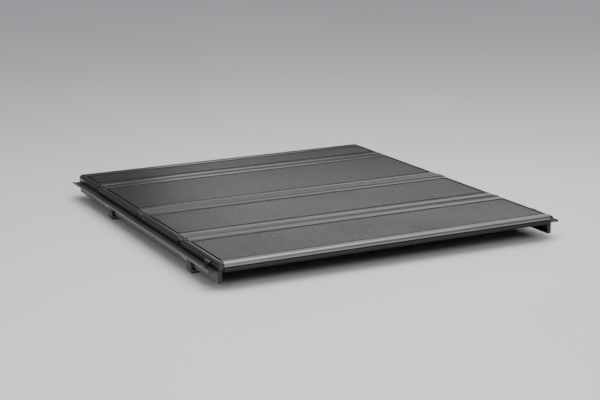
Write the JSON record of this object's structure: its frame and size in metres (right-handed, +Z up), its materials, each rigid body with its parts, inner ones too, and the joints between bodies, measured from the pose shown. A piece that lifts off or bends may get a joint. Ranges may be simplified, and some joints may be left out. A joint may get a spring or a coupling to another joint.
{
  "type": "folding tonneau cover",
  "caption": "Hard folding tonneau cover for a pickup bed: hinged sandwich panels with textured skins, a fixed header, side rails, clamps, a latch and prop rods.",
  "frame": {"origin": "centre of the header's seat on the flange of the bed's front wall; the bed's flanges lie in the plane Z = 0", "axes": "+X to the vehicle's right, +Y towards the cab, +Z up"},
  "size_m": [1.4, 1.5435, 0.0991],
  "materials": {
    "textured_skin": "matte",
    "foam_core": "matte",
    "liner_sheet": "matte",
    "seal_rubber": "matte",
    "moulded_plastic": "satin",
    "cast_aluminium": "satin",
    "plated_steel": "satin",
    "coated_steel": "satin",
    "rail_aluminium": "satin",
    "coated_aluminium": "satin",
    "trim_aluminium": "satin"
  },
  "bodies": {
    "rails_and_header": {"left_side_rail": "rail_aluminium", "right_side_rail": "rail_aluminium", "left_rail_seal": "seal_rubber", "right_rail_seal": "seal_rubber", "rail_end_caps": "moulded_plastic", "clamp_brackets": "cast_aluminium", "header_skin": "textured_skin", "header_core": "foam_core", "header_liner": "liner_sheet", "header_front_rail": "coated_aluminium", "header_side_frames": "coated_aluminium", "header_hinge_bar": "coated_aluminium", "bulkhead_seal": "seal_rubber", "header_screws": "plated_steel", "latch_strikers": "coated_steel", "prop_rod_catches": "cast_aluminium"},
    "front_panel": {"front_panel_skin": "textured_skin", "front_panel_core": "foam_core", "front_panel_liner": "liner_sheet", "front_panel_side_frames": "coated_aluminium", "front_panel_front_bar": "coated_aluminium", "front_panel_rear_bar": "coated_aluminium", "header_hinge_pin": "plated_steel", "prop_rod_pivots": "plated_steel", "prop_rod_clips": "moulded_plastic"},
    "front_hinge": {"front_hinge_link": "coated_aluminium", "front_hinge_pins": "plated_steel", "front_hinge_end_caps": "moulded_plastic"},
    "middle_panel": {"middle_panel_skin": "textured_skin", "middle_panel_core": "foam_core", "middle_panel_liner": "liner_sheet", "middle_panel_side_frames": "coated_aluminium", "middle_panel_front_bar": "coated_aluminium", "middle_panel_rear_bar": "coated_aluminium"},
    "rear_hinge": {"rear_hinge_link": "coated_aluminium", "rear_hinge_pins": "plated_steel", "rear_hinge_end_caps": "moulded_plastic"},
    "rear_panel": {"rear_panel_skin": "textured_skin", "rear_panel_core": "foam_core", "rear_panel_liner": "liner_sheet", "rear_panel_side_frames": "coated_aluminium", "rear_panel_front_bar": "coated_aluminium", "rear_panel_rear_bar": "trim_aluminium", "tailgate_seal": "seal_rubber", "latch_housing": "moulded_plastic", "stack_rest_pads": "seal_rubber"},
    "latch_handle": {"latch_handle": "moulded_plastic", "latch_crank": "plated_steel"},
    "left_latch_rod": {"left_latch_rod": "plated_steel"},
    "right_latch_rod": {"right_latch_rod": "plated_steel"},
    "left_prop_rod": {"left_prop_rod": "coated_steel"},
    "right_prop_rod": {"right_prop_rod": "coated_steel"},
    "left_front_clamp": {"left_front_clamp_jaw": "cast_aluminium", "left_front_clamp_bolt": "plated_steel"},
    "left_rear_clamp": {"left_rear_clamp_jaw": "cast_aluminium", "left_rear_clamp_bolt": "plated_steel"},
    "right_front_clamp": {"right_front_clamp_jaw": "cast_aluminium", "right_front_clamp_bolt": "plated_steel"},
    "right_rear_clamp": {"right_rear_clamp_jaw": "cast_aluminium", "right_rear_clamp_bolt": "plated_steel"}
  },
  "joints": [
    {"name": "cover_tilt", "type": "hinge", "parent": "rails_and_header", "child": "front_panel", "pos_m": [0, -0.222, 0.031], "axis": [-1, 0, 0], "range_deg": [0, 85]},
    {"name": "front_fold", "type": "hinge", "parent": "front_panel", "child": "front_hinge", "pos_m": [0, -0.697, 0.031], "axis": [-1, 0, 0], "range_deg": [0, 90]},
    {"name": "front_fold_upper", "type": "hinge", "parent": "front_hinge", "child": "middle_panel", "pos_m": [0, -0.747, 0.031], "axis": [-1, 0, 0], "range_deg": [0, 90]},
    {"name": "rear_fold", "type": "hinge", "parent": "middle_panel", "child": "rear_hinge", "pos_m": [0, -1.136, 0.031], "axis": [-1, 0, 0], "range_deg": [0, 90]},
    {"name": "rear_fold_upper", "type": "hinge", "parent": "rear_hinge", "child": "rear_panel", "pos_m": [0, -1.148, 0.031], "axis": [-1, 0, 0], "range_deg": [0, 90]},
    {"name": "latch_turn", "type": "hinge", "parent": "rear_panel", "child": "latch_handle", "pos_m": [0, -1.395, 0.017], "axis": [0, 0, -1], "range_deg": [0, 33.92]},
    {"name": "right_latch_slide", "type": "slide", "parent": "rear_panel", "child": "right_latch_rod", "axis": [1, 0, 0], "range_m": [0, 0.01401]},
    {"name": "left_latch_slide", "type": "slide", "parent": "rear_panel", "child": "left_latch_rod", "axis": [-1, 0, 0], "range_m": [0, 0.01401]},
    {"name": "left_prop_swing", "type": "hinge", "parent": "front_panel", "child": "left_prop_rod", "pos_m": [-0.615, -0.342, 0], "axis": [1, 0, 0], "range_deg": [0, 111.48]},
    {"name": "right_prop_swing", "type": "hinge", "parent": "front_panel", "child": "right_prop_rod", "pos_m": [0.615, -0.342, 0], "axis": [1, 0, 0], "range_deg": [0, 111.48]},
    {"name": "left_front_clamp_slide", "type": "slide", "parent": "rails_and_header", "child": "left_front_clamp", "axis": [0, 0, -1], "range_m": [0, 0.018]},
    {"name": "left_rear_clamp_slide", "type": "slide", "parent": "rails_and_header", "child": "left_rear_clamp", "axis": [0, 0, -1], "range_m": [0, 0.018]},
    {"name": "right_front_clamp_slide", "type": "slide", "parent": "rails_and_header", "child": "right_front_clamp", "axis": [0, 0, -1], "range_m": [0, 0.018]},
    {"name": "right_rear_clamp_slide", "type": "slide", "parent": "rails_and_header", "child": "right_rear_clamp", "axis": [0, 0, -1], "range_m": [0, 0.018]}
  ],
  "couplings": [
    {"joint": "front_fold_upper", "follows": "front_fold", "ratio": 1},
    {"joint": "rear_fold_upper", "follows": "rear_fold", "ratio": 1},
    {"joint": "right_latch_slide", "follows": "latch_turn", "m_per_rad": 0.023651},
    {"joint": "left_latch_slide", "follows": "latch_turn", "m_per_rad": 0.023651}
  ]
}
